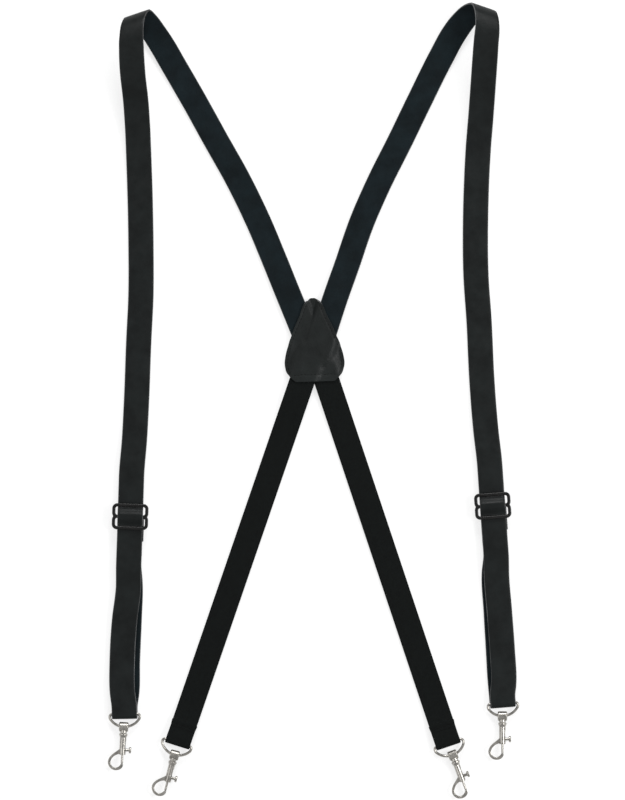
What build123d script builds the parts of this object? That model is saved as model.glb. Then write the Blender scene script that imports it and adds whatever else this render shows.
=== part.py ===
"""X-back suspenders laid flat on a table: two leather shoulder straps, two elastics, a back patch,
two slide adjusters, and four D-rings with swivel trigger snaps.

+X is the wearer-side right of the flat layout, +Y points to the shoulder folds, +Z is up,
and the table is z = 0. All sizes are in millimetres."""
import os
from math import cos, pi, radians, sin

from build123d import *

os.makedirs("parts", exist_ok=True)

# Straps
STRAP_WIDTH = 19.0
LEATHER = 1.5
ELASTIC = 1.4
RUN_STEP = 11.0          # spacing of the cross-sections along a strap
TURN_STEPS = 8           # cross-sections in a fold round a ring bar
TABLE_Z = LEATHER / 2    # middle of a strap that lies on the table
TAIL_LENGTH = 20.0       # sewn tail of an elastic
TAIL_STEP = 5.0          # spacing of the cross-sections along it
TURN_HOLD = 6.0          # a strap's width lies along the ring bar this near the turn
TURN_FADE = 16.0         # and lies square to its run from here on

# D-ring
RING_WIRE = 2.0
RING_HALF = 11.2         # middle of the wire, half the width of the ring
RING_DEPTH = 9.6         # bar to the foot of the arc, wire middles
RING_ARC = 12.6          # radius of the arc
RING_SIDE = 3.2          # straight side from the bar to the arc
RING_BAR_BEND = 1.9      # bend between the bar and a side, wire middle
RING_ARC_BEND = 3.0      # bend between a side and the arc, wire middle
METAL_Z = 3.4            # height of the ring bar and of the snap axis
LOOP_GAP = 0.25          # slack between the ring bar and the strap
LOOP_RADIUS = RING_WIRE / 2 + LOOP_GAP + LEATHER / 2

# Trigger snap, along its own axis from the D-ring wire
EYE_WIDTH = 7.0
EYE_HOLE = 3.7
EYE_LONG = 3.6           # half length of the eye along the snap
EYE_TALL = 3.15          # half height of the eye
STEM_DIAMETER = 2.2
STEM_END = 6.5
RIVET_DIAMETER = 3.0
RIVET_FROM = 5.7
BARREL_FROM = 4.8
BARREL_TO = 21.0
FLARE_DIAMETER = 6.3
FLARE_TO = 8.0
BARREL_DIAMETER = 4.8
BORE_DIAMETER = 3.0
BORE_FROM = 6.9
BORE_TO = 20.0
BOLT_DIAMETER = 2.7
BOLT_FROM = 14.5
BOLT_TO = 19.8
GATE_DIAMETER = 1.7
GATE_TO = 27.85
BOLT_TRAVEL = 5.0
STUD_AT = 17.3
STUD_NECK = 2.2
STUD_HEAD = 4.8
STUD_HEAD_THICK = 1.7
STUD_REACH = 6.5
BOLT_FLAT = 0.95         # flat on the bolt that carries the stud
HOOK_THICK = 2.4
HOOK_ROUND = 0.5
TURNING_GAP = 0.2        # slack round the stem and rivet head
GATE_GAP = 0.12          # slack round the gate rod
SPRING_WIRE = 0.35
SPRING_TURNS = 5

# Adjuster
SLIDE_WIDTH = 27.2
SLIDE_HEIGHT = 19.6
SLIDE_BAR = 2.5
SLIDE_THICK = 2.4
SLIDE_ROUND = 0.7
SLIDE_CORNER = 3.8       # outside corner of each loop
SLIDE_WINDOW_CORNER = 1.4
SLIDE_WAIST = 1.2        # rounding of the waist between the loops
THIN_LEATHER = LEATHER - 0.2
WEAVE_STEP = 1.2         # spacing of the cross-sections of the woven stretch
TAB_LENGTH = 19.4        # sewn end under the adjuster
TAB_MIDDLE = 8.9         # its middle, past the centre bar
TAB_ASIDE = 0.8          # and to the right of the strap's middle

# Height of the middle of each layer under and over an adjuster
TAB_Z = 0.7
BACK_RUN_Z = 2.25
ROOT_RUN_Z = 3.95
FRONT_RUN_Z = 5.65
SLIDE_Z = 6.6 + SLIDE_THICK / 2
WEAVE_LOW_Z = 7.35
WEAVE_HIGH_Z = SLIDE_Z + SLIDE_THICK / 2 + 0.1 + LEATHER / 2

# Back patch
PATCH_LENGTH = 62.6
PATCH_THICK = 1.2
PATCH_TIP = Vector(-1.0, 77.2)
PATCH_TURN = 1.8         # degrees, tip leaning to -X
LAYER_A_Z = PATCH_THICK + 0.2 + LEATHER / 2
LAYER_B_Z = LAYER_A_Z + LEATHER + 0.2
PATCH_FRONT_Z = LAYER_B_Z + LEATHER / 2 + 0.2


def heading(angle):
    """Direction in the table plane, from -Y turned towards +X by an angle in degrees"""
    return Vector(sin(radians(angle)), -cos(radians(angle)), 0)


def right_of(direction):
    """Direction square to another one in the table plane, to +X when that one points to -Y"""
    return Vector(-direction.Y, direction.X, 0)


def smooth(points, step=RUN_STEP):
    """Even samples of the smooth curve through a few points"""
    curve = Spline(*points)
    count = max(2, round(curve.length / step))
    return [curve.position_at(i / count) for i in range(count + 1)]


def ribbon(course, across, turn_at, hold, fade, thick=LEATHER):
    """A strap along a course; near turn_at its width stays parallel to across"""
    sections = []
    last = len(course) - 1
    for i, point in enumerate(course):
        run = (course[min(i + 1, last)] - course[max(i - 1, 0)]).normalized()
        level = Vector(-run.Y, run.X, 0) + across * 1e-6
        if level.dot(across) < 0:
            level = level * -1
        level = level.normalized()
        grip = max(0.0, min(1.0, (fade - (point - turn_at).length) / (fade - hold)))
        side = (level * (1 - grip) + across * grip).normalized()
        up = run.cross(side).normalized() * (thick / 2)
        side = side * (STRAP_WIDTH / 2)
        corners = [point + side + up, point + side - up, point - side - up, point - side + up]
        sections.append(Wire.make_polygon(corners, close=True))
    return Solid.make_loft(sections, ruled=True)


def fold_round_bar(top, bottom, direction, reach, radius, thick):
    """Middle points of a strap folded round a ring bar, from its top run to its bottom run"""
    straight = reach - radius - thick / 2
    points = []
    for i in range(TURN_STEPS + 1):
        turn = pi * i / TURN_STEPS
        place = top + (bottom - top) * (i / TURN_STEPS)
        place = place + direction * (straight + radius * sin(turn))
        points.append(Vector(place.X, place.Y, METAL_Z + radius * cos(turn)))
    return points


def d_ring():
    """Wire bent to a D, bar through the origin, arc towards +X"""
    top = Vector(0, RING_HALF)
    foot = Vector(RING_DEPTH, 0)
    side = Vector(RING_SIDE, RING_HALF)
    outline = [
        Line(Vector(0, -RING_HALF), top),
        Line(top, side),
        ThreePointArc(side, foot, Vector(RING_SIDE, -RING_HALF)),
        Line(Vector(RING_SIDE, -RING_HALF), Vector(0, -RING_HALF)),
    ]
    face = make_face(outline)
    bar_corners = face.vertices().filter_by_position(Axis.X, -0.1, 0.1)
    face = fillet(bar_corners, RING_BAR_BEND)
    side_corners = face.vertices().filter_by_position(Axis.X, RING_SIDE - 0.1, RING_SIDE + 0.1)
    face = fillet(side_corners, RING_ARC_BEND)
    path = face.face().outer_wire()
    start = Plane(origin=path @ 0, z_dir=path % 0)
    return sweep(start * Circle(RING_WIRE / 2), path=path)


def along_axis(profile):
    """Turn a list of (distance along the snap, radius) pairs into a round body on the X axis"""
    points = [(profile[0][0], 0)] + profile + [(profile[-1][0], 0)]
    return revolve(make_face(Polyline(*points, close=True)), Axis.X)


def swivel_eye():
    """Bail round the D-ring wire, with the stem and rivet head that turn in the barrel"""
    outline = Plane.XZ * Ellipse(EYE_LONG, EYE_TALL)
    bail = extrude(outline, EYE_WIDTH / 2, both=True)
    bail = fillet(bail.edges().filter_by(GeomType.ELLIPSE), 0.8)
    bail -= extrude(Plane.XZ * Circle(EYE_HOLE / 2), EYE_WIDTH, both=True)
    stem_profile = [
        (EYE_LONG - 0.9, STEM_DIAMETER / 2),
        (RIVET_FROM, STEM_DIAMETER / 2),
        (RIVET_FROM, RIVET_DIAMETER / 2),
        (STEM_END, RIVET_DIAMETER / 2),
    ]
    collar = [(EYE_LONG - 1.1, 2.5), (BARREL_FROM - 0.25, 2.5)]
    return bail + along_axis(collar) + along_axis(stem_profile)


def hook_body():
    """Barrel with a flared mouth, its bore and stud slot, and the curved hook"""
    barrel = along_axis([
        (BARREL_FROM, FLARE_DIAMETER / 2 - 0.5),
        (BARREL_FROM + 0.5, FLARE_DIAMETER / 2),
        (BARREL_FROM + 1.3, FLARE_DIAMETER / 2),
        (FLARE_TO, BARREL_DIAMETER / 2),
        (BARREL_TO - 0.4, BARREL_DIAMETER / 2),
        (BARREL_TO, BARREL_DIAMETER / 2 - 0.4),
    ])
    outer = Spline((16.2, -1.9), (19.2, -5.4), (22.6, -9.0), (26.5, -10.6), (30.6, -9.1),
                   (32.8, -5.0), (32.1, -1.4), (29.8, 0.75))
    inner = Spline((28.0, -0.95), (29.9, -2.3), (30.8, -5.0), (29.2, -7.7), (26.4, -8.5),
                   (23.2, -7.0), (21.2, -4.4), (20.4, -1.9))
    nose = Polyline((29.8, 0.75), (28.0, 0.95), (28.0, -0.95))
    root = Line((20.4, -1.9), (16.2, -1.9))
    hook = extrude(make_face([outer, nose, inner, root]), HOOK_THICK / 2, both=True)
    rims = hook.edges().filter_by(GeomType.BSPLINE)
    hook = fillet(rims, HOOK_ROUND)
    body = barrel + hook
    stem_bore = STEM_DIAMETER / 2 + TURNING_GAP
    rivet_bore = RIVET_DIAMETER / 2 + TURNING_GAP
    gate_bore = GATE_DIAMETER / 2 + GATE_GAP
    body -= along_axis([(0, stem_bore), (RIVET_FROM - 0.1, stem_bore)])
    body -= along_axis([(RIVET_FROM - 0.2, rivet_bore), (STEM_END + 0.2, rivet_bore)])
    body -= along_axis([(STEM_END + 0.1, BORE_DIAMETER / 2), (BORE_TO, BORE_DIAMETER / 2)])
    body -= along_axis([(BORE_TO - 0.1, gate_bore), (BARREL_TO + 0.1, gate_bore)])
    slot_from = STUD_AT - BOLT_TRAVEL
    slot_length = BOLT_TRAVEL + STUD_NECK + 0.5
    slot = Pos((slot_from + STUD_AT) / 2, BARREL_DIAMETER / 2, 0) * Box(
        slot_length, BARREL_DIAMETER, STUD_NECK + 0.3)
    return body - slot


def sliding_bolt():
    """Piston in the barrel with the gate rod that closes the hook"""
    bolt = along_axis([
        (BOLT_FROM, BOLT_DIAMETER / 2),
        (BOLT_TO, BOLT_DIAMETER / 2),
        (BOLT_TO, GATE_DIAMETER / 2),
        (GATE_TO - 0.4, GATE_DIAMETER / 2),
        (GATE_TO, GATE_DIAMETER / 2 - 0.4),
    ])
    flat = Pos(STUD_AT, BOLT_FLAT + 1, 0) * Box(STUD_NECK + 0.4, 2, 4)
    return bolt - flat


def thumb_stud():
    """Neck and button head on the bolt, out through the slot"""
    neck_length = STUD_REACH - STUD_HEAD_THICK - BOLT_FLAT
    neck = Pos(STUD_AT, BOLT_FLAT + neck_length / 2, 0) * Rot(90, 0, 0) * Cylinder(
        STUD_NECK / 2, neck_length)
    head = Pos(STUD_AT, STUD_REACH - STUD_HEAD_THICK / 2, 0) * Rot(90, 0, 0) * Cylinder(
        STUD_HEAD / 2, STUD_HEAD_THICK)
    head = fillet(head.edges().filter_by(GeomType.CIRCLE), 0.5)
    return neck + head


def bolt_spring():
    """Compression spring between the rivet end of the bore and the bolt"""
    start = BORE_FROM + 0.2
    length = BOLT_FROM - start - 0.2
    coil = BORE_DIAMETER / 2 - SPRING_WIRE / 2 - 0.1
    path = Helix(length / SPRING_TURNS, length, coil)
    spring = sweep(Plane(origin=path @ 0, z_dir=path % 0) * Circle(SPRING_WIRE / 2), path=path)
    return Pos(start, 0, 0) * Rot(0, 90, 0) * spring


def adjuster():
    """Two rounded loops that share the centre bar, the run of the strap along X"""
    loop_length = (SLIDE_HEIGHT + SLIDE_BAR) / 2
    shift = (SLIDE_HEIGHT - loop_length) / 2
    loop = RectangleRounded(loop_length, SLIDE_WIDTH, SLIDE_CORNER)
    window = RectangleRounded(
        loop_length - 2 * SLIDE_BAR, SLIDE_WIDTH - 2 * SLIDE_BAR, SLIDE_WINDOW_CORNER)
    plate = Pos(-shift, 0) * loop + Pos(shift, 0) * loop
    waist = plate.vertices().filter_by_position(Axis.X, -0.1, 0.1)
    plate = fillet(waist, SLIDE_WAIST)
    plate = plate - Pos(-shift, 0) * window - Pos(shift, 0) * window
    body = extrude(plate, SLIDE_THICK / 2, both=True)
    rims = body.edges().group_by(Axis.Z)[-1] + body.edges().group_by(Axis.Z)[0]
    return fillet(rims, SLIDE_ROUND)


def strap_weave():
    """Stretch of strap over the centre bar of an adjuster, its ends under the outer bars"""
    low = SLIDE_HEIGHT / 2 - SLIDE_BAR - 0.15
    points = [Vector(-low, 0, WEAVE_LOW_Z), Vector(-low * 0.75, 0, WEAVE_LOW_Z + 0.35),
              Vector(-1.6, 0, WEAVE_HIGH_Z - 0.1), Vector(1.6, 0, WEAVE_HIGH_Z - 0.1),
              Vector(low * 0.75, 0, WEAVE_LOW_Z + 0.35), Vector(low, 0, WEAVE_LOW_Z)]
    course = smooth(points, WEAVE_STEP)
    return ribbon(course, Vector(0, 1, 0), Vector(0, 0, 0), SLIDE_WIDTH, SLIDE_WIDTH + 1, THIN_LEATHER)


def anchor_tab():
    """Sewn end of the strap, flat under the adjuster"""
    return Pos(TAB_MIDDLE, TAB_ASIDE, TAB_Z) * Box(TAB_LENGTH, STRAP_WIDTH, THIN_LEATHER)


def patch_leaf(base, thick):
    """Bell-shaped leaf of the back patch"""
    half = Spline((0, 0), (3.2, 5.6), (14.0, 10.6), (23.5, 15.0), (33.0, 18.6), (43.0, 21.7),
                  (50.0, 22.4), (57.0, 20.0), (PATCH_LENGTH, 14.6), tangents=[(0, 1), (0.7, -1)])
    mirrored = mirror(half, Plane.XZ)
    foot = Line((PATCH_LENGTH, 14.6), (PATCH_LENGTH, -14.6))
    leaf = extrude(make_face([half, foot, mirrored]), thick)
    place = Plane(origin=(PATCH_TIP.X, PATCH_TIP.Y, base), x_dir=heading(PATCH_TURN), z_dir=(0, 0, 1))
    return place.location * leaf


def at_points(*points):
    """Vectors of a route's points"""
    return [Vector(*point) for point in points]


# Shoulder straps: route of the middle line from the patch over the fold to the adjuster
LEFT_SLIDE = Vector(-137.6, -86.6, 0)
LEFT_RUN = heading(-1.8)
RIGHT_SLIDE = Vector(133.9, -78.5, 0)
RIGHT_RUN = heading(4.0)
STRAIGHT_ABOVE = 32.0    # straight strap above an adjuster
ROOT_PAST = 11.6         # hidden end of the shoulder strap, past the centre bar
LEVEL_BELOW = 38.0       # straight strap below an adjuster
LEFT_FOLD = Vector(-131.9, 289.5, 13.8)
RIGHT_FOLD = Vector(126.4, 294.5, 14.2)
FOLD_ANGLE = 18.9        # lie of the shoulder fold line, degrees from X
FOLD_HOLD = 18.0         # the strap's width lies along the fold line this near the fold
FOLD_FADE = 45.0         # and lies square to its run from here on


def level_run(slide, run, start, stop, height):
    """Points of a straight level stretch beside an adjuster"""
    count = round(abs(stop - start) / RUN_STEP)
    places = [start + (stop - start) * i / count for i in range(count + 1)]
    return [Vector(slide.X, slide.Y, height) + run * place for place in places]


LEFT_ROUTE = at_points(
    (-1.7, 36.8, LAYER_A_Z), (-11, 60, LAYER_A_Z), (-20.5, 83.2, LAYER_A_Z - 0.3),
    (-29.6, 105.8, 1.2), (-42.2, 135.8, TABLE_Z), (-56.8, 165.8, TABLE_Z),
    (-73.6, 195.8, TABLE_Z), (-90.2, 225.8, 0.8), (-104.9, 251.3, 1.2), (-114.2, 267.3, 2.4),
    (-120.6, 277.1, 4.4), (-126.4, 284.9, 8.0), (-131.9, 289.5, 13.8), (-134.9, 284.5, 20.2),
    (-136.3, 274.3, 23.8), (-136.2, 261.0, 23.6), (-135.4, 245.0, 19.6), (-133.4, 225.8, 12.6),
    (-132.0, 203.0, 5.6), (-131.2, 180.8, 2.0), (-130.4, 155.8, 0.9), (-129.7, 120.0, TABLE_Z),
    (-129.8, 75.8, TABLE_Z), (-131.3, 45.8, TABLE_Z), (-132.8, 5.0, TABLE_Z),
    (-134.6, -30.0, 2.4))
RIGHT_ROUTE = at_points(
    (3.2, 36.8, LAYER_B_Z), (9.8, 58, LAYER_B_Z), (16.3, 78, LAYER_B_Z - 0.6),
    (24.5, 101, 1.6), (36.3, 135, TABLE_Z), (48.6, 163, TABLE_Z), (64.6, 195.0, TABLE_Z),
    (79.5, 225.8, 0.8), (95.6, 258.2, 1.4), (105.4, 275.9, 3.0), (114.4, 287.6, 6.0),
    (120.6, 292.9, 9.4), (126.4, 294.5, 14.2), (128.8, 289.6, 20.4), (129.6, 280.5, 23.8),
    (128.6, 268.0, 23.8), (127.6, 253.0, 20.4), (126.6, 237.0, 15.2), (125.0, 213.0, 7.8),
    (123.2, 189.0, 2.8), (122.0, 165.0, 1.1), (121.2, 135.0, TABLE_Z), (121.5, 95.0, TABLE_Z),
    (123.8, 60.8, TABLE_Z), (126.0, 15.0, TABLE_Z), (128.9, -22.0, 2.4))

# Front strap ends: front run from under the adjuster to the ring, and back run beneath it
LEFT_FRONT_RUN = at_points(
    (-139.0, -140.0, 4.6), (-141.9, -164.3, 3.4), (-143.7, -194.3, 3.2), (-143.5, -218.0, 4.6))
LEFT_BACK_RUN = at_points(
    (-140.3, -218.0, 1.0), (-139.8, -195.0, TABLE_Z), (-138.6, -165.0, TABLE_Z),
    (-137.9, -135.0, 1.2))
RIGHT_FRONT_RUN = at_points(
    (136.9, -131.0, 4.6), (139.1, -158.0, 3.4), (141.3, -188.0, 3.2), (142.3, -211.0, 4.6))
RIGHT_BACK_RUN = at_points(
    (139.7, -209.0, 1.0), (138.3, -185.0, TABLE_Z), (136.7, -158.0, TABLE_Z),
    (135.3, -129.0, 1.2))

# Upper ends of the elastics, between the patch leaves
LEFT_ELASTIC_START = Vector(-1.9, 35.2)
RIGHT_ELASTIC_START = Vector(3.0, 35.2)

# Each end: middle of the ring bar, lie of the ring and of the snap in degrees, how far to the
# right of the bar's middle the strap arrives and leaves, and how far its fold reaches past the bar
ENDS = {
    "front_left": dict(
        bar=Vector(-141.8, -234.6), ring=1.0, snap=-3.0, top=-0.2, under=0.2, reach=3.8),
    "front_right": dict(
        bar=Vector(141.5, -226.5), ring=4.5, snap=0.0, top=0.3, under=-0.3, reach=3.4),
    "rear_left": dict(
        bar=Vector(-102.2, -255.9), ring=-17.5, snap=-14.6, top=0.3, under=0.3, reach=2.65),
    "rear_right": dict(
        bar=Vector(100.7, -256.4), ring=18.7, snap=20.6, top=-0.3, under=-0.3, reach=2.65),
}


def save(name, shape):
    """Write one named piece"""
    shape.label = name
    export_step(shape, f"parts/{name}.step")


def shoulder_strap(route, slide, run, fold_at, fold_angle):
    """Leather strap from the patch over the shoulder fold to its hidden end"""
    straight = level_run(slide, run, -STRAIGHT_ABOVE, ROOT_PAST, ROOT_RUN_Z)
    across = Vector(cos(radians(fold_angle)), sin(radians(fold_angle)), 0)
    course = smooth(route + straight, RUN_STEP / 3)
    near = [i % 3 == 0 or (point - fold_at).length < FOLD_FADE for i, point in enumerate(course)]
    course = [point for point, keep in zip(course, near) if keep]
    return ribbon(course, across, fold_at, FOLD_HOLD, FOLD_FADE)


def strap_end(end, front, back, slide, run):
    """Leather from under the adjuster to the ring, round its bar and back up"""
    direction = heading(end["ring"])
    top = end["bar"] + right_of(direction) * end["top"] + Vector(0, 0, METAL_Z + LOOP_RADIUS)
    under = end["bar"] + right_of(direction) * end["under"] + Vector(0, 0, METAL_Z - LOOP_RADIUS)
    down = level_run(slide, run, 0.4, LEVEL_BELOW, FRONT_RUN_Z) + front + [top - direction * 5, top]
    turn = fold_round_bar(top, under, direction, end["reach"], LOOP_RADIUS, LEATHER)
    up = [under, under - direction * 5] + back + level_run(slide, run, LEVEL_BELOW, 0.4, BACK_RUN_Z)
    course = smooth(down)[:-1] + turn + smooth(up)[1:]
    return ribbon(course, right_of(direction), turn[TURN_STEPS // 2], TURN_HOLD, TURN_FADE)


def back_elastic(end, start, start_z):
    """Elastic from the patch to the rear ring, folded round its bar with a sewn tail"""
    direction = heading(end["ring"])
    radius = RING_WIRE / 2 + LOOP_GAP + ELASTIC / 2
    bar = end["bar"] + right_of(direction) * end["top"]
    top = bar + Vector(0, 0, METAL_Z + radius)
    under = bar + Vector(0, 0, METAL_Z - radius)
    way = (bar - start).normalized()
    length = (bar - start).length
    heights = [
        (0, start_z), (18, start_z), (32, start_z), (60, 0.9), (120, 0.7), (0.62 * length, 0.7),
        (length - 52, 0.75), (length - 30, 1.3), (length - TAIL_LENGTH, 2.6), (length - 8, 4.6)]
    down = [start + way * place + Vector(0, 0, height) for place, height in heights]
    turn = fold_round_bar(top, under, direction, end["reach"], radius, ELASTIC)
    tail = [under, under - way * 7 - Vector(0, 0, 0.4), bar - way * TAIL_LENGTH + Vector(0, 0, 0.75)]
    course = smooth(down + [top - direction * 3, top])[:-1] + turn + smooth(tail, TAIL_STEP)[1:]
    return ribbon(course, right_of(direction), turn[TURN_STEPS // 2], TURN_HOLD, TURN_FADE, ELASTIC)


def build_ends():
    """Ring, snap hook, bolt, stud and spring of each of the four ends"""
    for name, end in ENDS.items():
        bar = end["bar"]
        ring_way = heading(end["ring"])
        snap_way = heading(end["snap"])
        ring_place = Plane(origin=(bar.X, bar.Y, METAL_Z), x_dir=ring_way, z_dir=(0, 0, 1))
        eye = bar + ring_way * (RING_DEPTH - RING_ARC) + snap_way * RING_ARC
        snap_place = Plane(origin=(eye.X, eye.Y, METAL_Z), x_dir=snap_way, z_dir=(0, 0, 1))
        save(f"{name}_d_ring", ring_place.location * d_ring())
        pieces = {
            "swivel_eye": swivel_eye(), "hook_body": hook_body(), "sliding_bolt": sliding_bolt(),
            "thumb_stud": thumb_stud(), "bolt_spring": bolt_spring(),
        }
        for piece, shape in pieces.items():
            save(f"{name}_{piece}", snap_place.location * shape)


def build_adjuster(side, slide, run):
    """Adjuster of one strap, with the stretch of strap woven through it and the sewn end"""
    place = Plane(origin=(slide.X, slide.Y, 0), x_dir=run, z_dir=(0, 0, 1))
    save(f"{side}_adjuster", place.location * (Pos(0, 0, SLIDE_Z) * adjuster()))
    save(f"{side}_strap_weave", place.location * strap_weave())
    save(f"{side}_anchor_tab", place.location * anchor_tab())


build_ends()
build_adjuster("left", LEFT_SLIDE, LEFT_RUN)
build_adjuster("right", RIGHT_SLIDE, RIGHT_RUN)
save("patch_rear", patch_leaf(0, PATCH_THICK))
save("patch_front", patch_leaf(PATCH_FRONT_Z, PATCH_THICK))
left_strap = shoulder_strap(LEFT_ROUTE, LEFT_SLIDE, LEFT_RUN, LEFT_FOLD, FOLD_ANGLE)
right_strap = shoulder_strap(RIGHT_ROUTE, RIGHT_SLIDE, RIGHT_RUN, RIGHT_FOLD, -FOLD_ANGLE)
left_end = strap_end(ENDS["front_left"], LEFT_FRONT_RUN, LEFT_BACK_RUN, LEFT_SLIDE, LEFT_RUN)
right_end = strap_end(
    ENDS["front_right"], RIGHT_FRONT_RUN, RIGHT_BACK_RUN, RIGHT_SLIDE, RIGHT_RUN)
save("left_shoulder_strap", left_strap)
save("right_shoulder_strap", right_strap)
save("left_strap_end", left_end)
save("right_strap_end", right_end)
save("left_back_elastic", back_elastic(ENDS["rear_left"], LEFT_ELASTIC_START, LAYER_B_Z))
save("right_back_elastic", back_elastic(ENDS["rear_right"], RIGHT_ELASTIC_START, LAYER_A_Z))
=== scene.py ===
import math

import bmesh
import bpy
from mathutils import Matrix, Vector
from mathutils.geometry import interpolate_bezier


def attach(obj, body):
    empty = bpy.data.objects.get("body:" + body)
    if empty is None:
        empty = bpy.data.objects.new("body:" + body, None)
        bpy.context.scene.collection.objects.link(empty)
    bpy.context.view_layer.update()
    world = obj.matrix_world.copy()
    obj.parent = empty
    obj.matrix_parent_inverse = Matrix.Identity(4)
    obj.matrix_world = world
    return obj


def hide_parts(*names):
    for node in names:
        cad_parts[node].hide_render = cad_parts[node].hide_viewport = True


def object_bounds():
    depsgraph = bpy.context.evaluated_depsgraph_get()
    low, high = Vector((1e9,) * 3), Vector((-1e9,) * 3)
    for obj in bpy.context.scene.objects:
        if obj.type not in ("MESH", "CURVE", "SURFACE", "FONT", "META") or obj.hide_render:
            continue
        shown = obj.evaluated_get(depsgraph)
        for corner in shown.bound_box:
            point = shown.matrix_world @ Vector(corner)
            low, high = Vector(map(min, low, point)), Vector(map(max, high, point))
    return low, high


bl_info = {
    "name": "Suspenders",
    "version": (1, 0, 0),
    "blender": (4, 5, 0),
    "location": "3D View > Sidebar > Suspenders",
    "description": "Leather and elastic suspenders with snap hooks, laid flat",
    "category": "Add Mesh",
}

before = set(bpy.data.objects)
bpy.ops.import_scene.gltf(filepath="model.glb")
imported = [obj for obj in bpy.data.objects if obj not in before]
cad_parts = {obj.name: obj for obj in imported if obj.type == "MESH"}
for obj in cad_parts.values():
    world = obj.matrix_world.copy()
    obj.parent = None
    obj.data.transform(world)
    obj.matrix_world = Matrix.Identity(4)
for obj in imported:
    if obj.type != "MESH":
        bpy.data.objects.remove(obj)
CAD_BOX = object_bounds()

MM = 0.001
LINING, CUT_EDGE = 1, 2     # material places on a strap; its face has place 0

# Heights of the layers above the table, in millimetres
TABLE_Z = 0.75
LAYER_A_Z = 2.15
LAYER_B_Z = 3.85
TAB_Z = 0.7
BACK_RUN_Z = 2.25
ROOT_RUN_Z = 3.95
FRONT_RUN_Z = 5.65
WEAVE_LOW_Z = 7.35
WEAVE_HIGH_Z = 9.85
METAL_Z = 3.4

# Shoulder straps, from the patch over the shoulder fold to the adjuster, in millimetres
ROUTES = {
    "left": [
        (-1.7, 36.8, LAYER_A_Z), (-11, 60, LAYER_A_Z), (-20.5, 83.2, LAYER_A_Z - 0.3),
        (-29.6, 105.8, 1.2), (-42.2, 135.8, TABLE_Z), (-56.8, 165.8, TABLE_Z),
        (-73.6, 195.8, TABLE_Z), (-90.2, 225.8, 0.8), (-104.9, 251.3, 1.2), (-114.2, 267.3, 2.4),
        (-120.6, 277.1, 4.4), (-126.4, 284.9, 8.0), (-131.9, 289.5, 13.8), (-134.9, 284.5, 20.2),
        (-136.3, 274.3, 23.8), (-136.2, 261.0, 23.6), (-135.4, 245.0, 19.6),
        (-133.4, 225.8, 12.6), (-132.0, 203.0, 5.6), (-131.2, 180.8, 2.0), (-130.4, 155.8, 0.9),
        (-129.7, 120.0, TABLE_Z), (-129.8, 75.8, TABLE_Z), (-131.3, 45.8, TABLE_Z),
        (-132.8, 5.0, TABLE_Z), (-134.6, -30.0, 2.4)],
    "right": [
        (3.2, 36.8, LAYER_B_Z), (9.8, 58, LAYER_B_Z), (16.3, 78, LAYER_B_Z - 0.6),
        (24.5, 101, 1.6), (36.3, 135, TABLE_Z), (48.6, 163, TABLE_Z), (64.6, 195.0, TABLE_Z),
        (79.5, 225.8, 0.8), (95.6, 258.2, 1.4), (105.4, 275.9, 3.0), (114.4, 287.6, 6.0),
        (120.6, 292.9, 9.4), (126.4, 294.5, 14.2), (128.8, 289.6, 20.4), (129.6, 280.5, 23.8),
        (128.6, 268.0, 23.8), (127.6, 253.0, 20.4), (126.6, 237.0, 15.2), (125.0, 213.0, 7.8),
        (123.2, 189.0, 2.8), (122.0, 165.0, 1.1), (121.2, 135.0, TABLE_Z), (121.5, 95.0, TABLE_Z),
        (123.8, 60.8, TABLE_Z), (126.0, 15.0, TABLE_Z), (128.9, -22.0, 2.4)],
}
FRONT_RUNS = {
    "left": [(-139.0, -140.0, 4.6), (-141.9, -164.3, 3.4), (-143.7, -194.3, 3.2),
             (-143.5, -218.0, 4.6)],
    "right": [(136.9, -131.0, 4.6), (139.1, -158.0, 3.4), (141.3, -188.0, 3.2),
              (142.3, -211.0, 4.6)],
}
BACK_RUNS = {
    "left": [(-140.3, -218.0, 1.0), (-139.8, -195.0, TABLE_Z), (-138.6, -165.0, TABLE_Z),
             (-137.9, -135.0, 1.2)],
    "right": [(139.7, -209.0, 1.0), (138.3, -185.0, TABLE_Z), (136.7, -158.0, TABLE_Z),
              (135.3, -129.0, 1.2)],
}
FOLDS = {
    "left": dict(at=(-131.9, 289.5, 13.8), angle=18.9),
    "right": dict(at=(126.4, 294.5, 14.2), angle=-18.9),
}
SLIDES = {
    "left": dict(at=(-137.6, -86.6, 0), turn=-1.8),
    "right": dict(at=(133.9, -78.5, 0), turn=4.0),
}
FRONT_ENDS = {
    "left": dict(bar=(-141.8, -234.6, 0), ring=1.0, top=-0.2, under=0.2, reach=3.8),
    "right": dict(bar=(141.5, -226.5, 0), ring=4.5, top=0.3, under=-0.3, reach=3.4),
}
REAR_ENDS = {
    "left": dict(bar=(-102.2, -255.9, 0), ring=-17.5, top=0.3, reach=2.65,
                 start=(-1.9, 35.2, 0), height=LAYER_B_Z),
    "right": dict(bar=(100.7, -256.4, 0), ring=18.7, top=-0.3, reach=2.65,
                  start=(3.0, 35.2, 0), height=LAYER_A_Z),
}
RING_WIRE = 2.0
LOOP_GAP = 0.25             # between a ring's wire and the strap around it
FOLD_STEPS = 14             # pieces of the half turn round a ring
BAR_CENTRE_Z = METAL_Z * MM

# Level stretches of strap beside an adjuster, from its centre bar down the strap, in millimetres
ROOT_RUN = (-32.0, 11.6)
END_RUN = (0.4, 38.0)
LEVEL_STEP = 11

# Woven stretch over the centre bar and sewn tab beneath it, in millimetres down the strap
WEAVE_SHAPE = [(-7.15, WEAVE_LOW_Z), (-5.4, WEAVE_LOW_Z + 0.35), (-1.6, WEAVE_HIGH_Z - 0.1),
               (1.6, WEAVE_HIGH_Z - 0.1), (5.4, WEAVE_LOW_Z + 0.35), (7.15, WEAVE_LOW_Z)]
TAB_PLACES = (-0.8, 8.9, 18.6)
TAB_ASIDE = 0.8

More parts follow.
